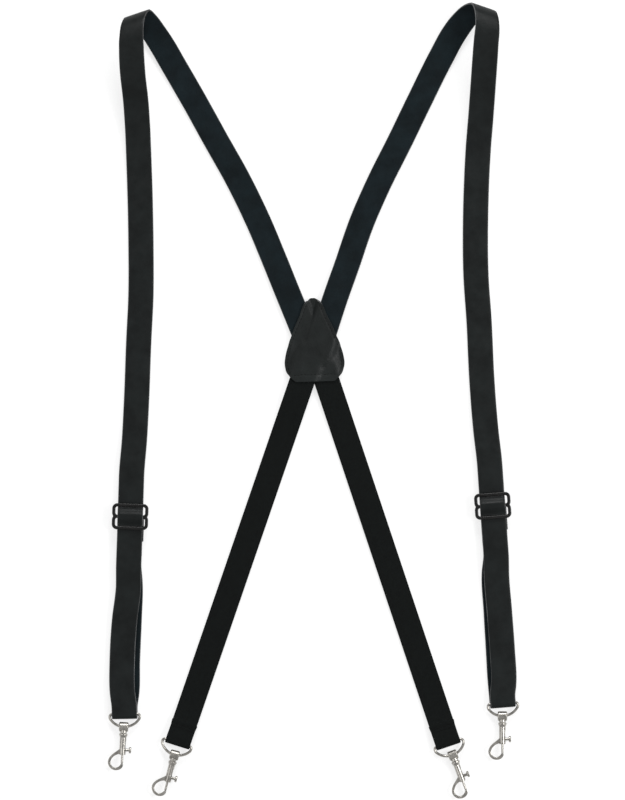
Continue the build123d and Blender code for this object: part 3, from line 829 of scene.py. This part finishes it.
class SUSPENDERS_OT_back_patch(bpy.types.Operator):
    """Shape the two leaves of the back patch and sew them together"""
    bl_idname = "suspenders.back_patch"
    bl_label = "Back Patch"

    def execute(self, context):
        settings = context.scene.suspenders_patch
        finishes = [
            leather(
                "patch_leather", settings.colour, grain=1000.0, depth=0.00012, rough=0.45,
                gloss=0.2),
            leather(
                "patch_lining", settings.colour, grain=1300.0, depth=0.00009, rough=0.7,
                gloss=0.12),
            cut_edge("patch_cut_edge", context.scene.suspenders_straps.edge_colour),
        ]
        outline = smooth(spots(PATCH_HALF), PATCH_STEP)
        for node in ("patch_rear", "patch_front"):
            work = self.leaf(outline)
            if node == "patch_rear":
                self.lay_flat(work, settings.thickness / 2)
            else:
                self.drape(work, settings.thickness / 2)
                self.sew(work, outline)
            piece = finish_piece(
                f"{node}_leather", work, "root", [node], finishes)
            thicken(piece, settings.thickness, PATCH_EDGE_ROUND)
        return {"FINISHED"}

    def lay_flat(self, work, half_thick):
        """Rear leaf, flat on the table with its face down"""
        for vert in work.verts:
            vert.co.z = half_thick
        bmesh.ops.reverse_faces(work, faces=work.faces)

    def drape(self, work, half_thick):
        """Front leaf, laid over the crossing of the straps and elastics"""
        for vert in work.verts:
            vert.co.z = self.resting_height(vert.co) + half_thick
        inner = [vert for vert in work.verts if not vert.is_boundary]
        for _ in range(PATCH_SMOOTHINGS):
            bmesh.ops.smooth_vert(
                work, verts=inner, factor=0.5, use_axis_x=False, use_axis_y=False,
                use_axis_z=True)

    def leaf(self, outline):
        """Flat bell-shaped grid, tip upwards, in its place on the table"""
        work = bmesh.new()
        rows = len(outline) - 1
        bmesh.ops.create_grid(work, x_segments=rows, y_segments=PATCH_COLUMNS, size=1.0)
        map_layer = work.loops.layers.uv.new("strip")
        down = heading(PATCH_TURN)
        tip = Vector(PATCH_TIP) * MM
        for vert in work.verts:
            row = round((vert.co.x + 1) / 2 * rows)
            along, half = outline[row].x, outline[row].y
            vert.co = tip + down * along + right_of(down) * (half * vert.co.y)
        for face in work.faces:
            for loop in face.loops:
                place = loop.vert.co
                loop[map_layer].uv = (place.x / PATCH_MAP_SIZE, place.y / PATCH_MAP_SIZE)
        bmesh.ops.remove_doubles(work, verts=work.verts, dist=SAME_PLACE)
        return work

    def resting_height(self, place):
        """Height of the underside of the front leaf over what lies between the leaves"""
        settings = bpy.context.scene.suspenders_patch
        half_width = bpy.context.scene.suspenders_straps.width / 2
        floor = settings.thickness + LEAF_GAP
        height = floor
        layers = []
        for side, layer in (("left", LAYER_A_Z), ("right", LAYER_B_Z)):
            layers.append((spots(ROUTES[side][:4]), layer + HALF_LEATHER))
        for side, end in REAR_ENDS.items():
            layers.append((spots([end["start"], end["bar"]]), end["height"] + HALF_ELASTIC))
        for line, top in layers:
            gap = min(self.distance(place, a, b) for a, b in zip(line, line[1:]))
            fall = max(0.0, min(1.0, (gap - half_width) / settings.hang))
            fall = fall * fall * (3 - 2 * fall)
            height = max(height, floor + (top * MM + LAYER_GAP - floor) * (1 - fall))
        return height

    def distance(self, place, a, b):
        """Level distance from a place to a stretch of strap"""
        a, b, place = a.to_2d(), b.to_2d(), place.to_2d()
        share = max(0.0, min(1.0, (place - a).dot(b - a) / (b - a).length_squared))
        return (place - a.lerp(b, share)).length

    def sew(self, work, outline):
        """Press a groove near the foot and along the edge, and lay the stitches in it"""
        settings = bpy.context.scene.suspenders_stitching
        lines = self.seams(outline)
        groove = [point.to_2d() for line in lines for point in even(line, GROOVE_STEP)]
        for vert in work.verts:
            near = min((vert.co.to_2d() - point).length for point in groove)
            vert.co.z -= GROOVE_DEPTH * math.exp(-(near / GROOVE_SPREAD) ** 2)
        least_upright = 0.3
        spans = []
        for line in lines:
            spaced = even(line, settings.pitch)
            for a, b in zip(spaced, spaced[1:]):
                middle = (a + b) / 2
                host = min(work.verts, key=lambda vert: (
                    vert.co.to_2d() - middle.to_2d()).length_squared)
                upright = host.normal.z > least_upright
                out = host.normal.copy() if upright else Vector((0, 0, 1))
                spot = Vector((middle.x, middle.y, host.co.z)) + out * STITCH_LIFT
                along = (b - a) - out * (b - a).dot(out)
                spans.append((spot, along, out, settings.pitch * STITCH_FILL))
        stitches("patch_stitching", spans)

    def seams(self, outline):
        """Lines of the stitching: across the foot, then up the left and the right rim"""
        down = heading(PATCH_TURN)
        tip = Vector(PATCH_TIP) * MM
        foot = outline[-1].x - FOOT_INSET
        reach = min(outline, key=lambda point: abs(point.x - foot)).y - FOOT_SIDE_INSET
        across_foot = []
        for i in range(FOOT_SPOTS + 1):
            wander = FOOT_WANDER * math.sin(i * FOOT_WANDER_TURN)
            aside = -reach + 2 * reach * i / FOOT_SPOTS
            across_foot.append(tip + down * (foot + wander) + right_of(down) * aside)
        rim = [point for point in outline if RIM_START < point.x < outline[-1].x - RIM_STOP]
        return [across_foot] + [
            [tip + down * point.x + right_of(down) * (hand * (point.y - RIM_INSET))
             for point in rim] for hand in (-1, 1)]


class SUSPENDERS_OT_metalwork(bpy.types.Operator):
    """Give the rings, snap hooks, springs and adjusters their finishes"""
    bl_idname = "suspenders.metalwork"
    bl_label = "Metalwork"

    def execute(self, context):
        settings = context.scene.suspenders_metal
        nickel = settings.nickel
        finishes = {
            "d_ring": plated("nickel_ring_wire", nickel, rough=0.2, scratches=900.0),
            "swivel_eye": plated("nickel_cast_eye", nickel, rough=0.26, scratches=700.0),
            "hook_body": plated("nickel_cast_hook", nickel, rough=0.24, scratches=800.0),
            "sliding_bolt": plated("nickel_turned_bolt", nickel, rough=0.18, scratches=1400.0),
            "thumb_stud": plated("nickel_stud", nickel, rough=0.2, scratches=1200.0),
            "bolt_spring": plated("spring_wire", settings.steel, rough=0.3, scratches=1800.0),
            "adjuster": lacquer("adjuster_lacquer", settings.black),
        }
        dressed = 0
        for name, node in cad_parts.items():
            for ending, material in finishes.items():
                if name.endswith(ending):
                    node.data.materials.clear()
                    node.data.materials.append(material)
                    dressed += 1
        if dressed != METAL_NODES:
            raise RuntimeError(f"{dressed} metal nodes were found, and there are {METAL_NODES}")
        return {"FINISHED"}


class SUSPENDERS_OT_stage(bpy.types.Operator):
    """Set the pale floor, the soft lights and the camera straight above"""
    bl_idname = "suspenders.stage"
    bl_label = "Stage"

    def execute(self, context):
        settings = context.scene.suspenders_stage
        self.floor(settings)
        world = bpy.data.worlds.new("studio")
        world.use_nodes = True
        background = world.node_tree.nodes["Background"]
        background.inputs["Color"].default_value = WHITE
        background.inputs["Strength"].default_value = settings.world
        context.scene.world = world
        for name, (place, size) in LAMPS.items():
            self.lamp(name, place, size, getattr(settings, name))
        self.camera(settings)
        context.scene.view_settings.view_transform = "Standard"
        return {"FINISHED"}

    def floor(self, settings):
        """Wide sheet of paper just under the lowest point of the object"""
        work = bmesh.new()
        bmesh.ops.create_grid(work, x_segments=2, y_segments=2, size=FLOOR_HALF)
        bmesh.ops.translate(work, verts=work.verts, vec=(0, 0, CAD_BOX[0].z - FLOOR_GAP))
        mesh = bpy.data.meshes.new("floor")
        work.to_mesh(mesh)
        work.free()
        floor = bpy.data.objects.new("floor", mesh)
        bpy.context.scene.collection.objects.link(floor)
        material, nodes, links, shader = blank("floor_paper")
        place = coordinates(nodes, "Object")
        fibres = noise(nodes, links, place, 40.0, 4.0, 0.6)
        tone = tones(nodes, links, fibres, settings.floor, 0.985, 1.0)
        links.new(tone, shader.inputs["Base Color"])
        shader.inputs["Roughness"].default_value = 0.9
        shader.inputs["Emission Color"].default_value = WHITE
        shader.inputs["Emission Strength"].default_value = settings.glow
        mesh.materials.append(material)

    def camera(self, settings):
        """Long lens straight above the middle of the object"""
        data = bpy.data.cameras.new("camera")
        data.lens = settings.lens
        data.sensor_width = SENSOR_WIDTH
        data.sensor_fit = "AUTO"
        data.clip_end = VIEW_END
        camera = bpy.data.objects.new("camera", data)
        distance = settings.view_height / (data.sensor_width / data.lens)
        camera.location = Vector(VIEW_CENTRE) + Vector((0, 0, distance))
        bpy.context.scene.collection.objects.link(camera)
        bpy.context.scene.camera = camera

    def lamp(self, name, place, size, power):
        """Square soft light aimed at the middle of the object"""
        data = bpy.data.lights.new(name, "AREA")
        data.shape = "SQUARE"
        data.size = size
        data.energy = power
        lamp = bpy.data.objects.new(name, data)
        lamp.location = place
        lamp.rotation_mode = "QUATERNION"
        lamp.rotation_quaternion = (-Vector(place)).to_track_quat("-Z", "Y")
        bpy.context.scene.collection.objects.link(lamp)


class SUSPENDERS_PT_parts(bpy.types.Panel):
    """Settings of every group, with a button for each operator"""
    bl_idname = "SUSPENDERS_PT_parts"
    bl_label = "Suspenders"
    bl_space_type = "VIEW_3D"
    bl_region_type = "UI"
    bl_category = "Suspenders"

    def draw(self, context):
        for group in SETTINGS:
            settings = getattr(context.scene, group)
            box = self.layout.box()
            for name in settings.__annotations__:
                box.prop(settings, name)
        for operator in OPERATORS:
            self.layout.operator(operator.bl_idname)


SETTINGS = {
    "suspenders_straps": SuspendersStraps,
    "suspenders_patch": SuspendersPatch,
    "suspenders_stitching": SuspendersStitching,
    "suspenders_metal": SuspendersMetal,
    "suspenders_stage": SuspendersStage,
}
OPERATORS = [
    SUSPENDERS_OT_stage, SUSPENDERS_OT_shoulder_straps, SUSPENDERS_OT_adjuster_straps,
    SUSPENDERS_OT_strap_ends, SUSPENDERS_OT_back_elastics, SUSPENDERS_OT_back_patch,
    SUSPENDERS_OT_metalwork,
]


def register():
    """Add the settings, the operators and the panel"""
    for group, kind in SETTINGS.items():
        bpy.utils.register_class(kind)
        setattr(bpy.types.Scene, group, bpy.props.PointerProperty(type=kind))
    for kind in OPERATORS + [SUSPENDERS_PT_parts]:
        bpy.utils.register_class(kind)


def unregister():
    """Take them away again, last one first"""
    for kind in reversed(OPERATORS + [SUSPENDERS_PT_parts]):
        bpy.utils.unregister_class(kind)
    for group, kind in reversed(SETTINGS.items()):
        delattr(bpy.types.Scene, group)
        bpy.utils.unregister_class(kind)


def main():
    """Build the whole object"""
    register()
    bpy.ops.suspenders.stage()
    bpy.ops.suspenders.shoulder_straps()
    bpy.ops.suspenders.adjuster_straps()
    bpy.ops.suspenders.strap_ends()
    bpy.ops.suspenders.back_elastics()
    bpy.ops.suspenders.back_patch()
    bpy.ops.suspenders.metalwork()


if __name__ == "__main__":
    main()
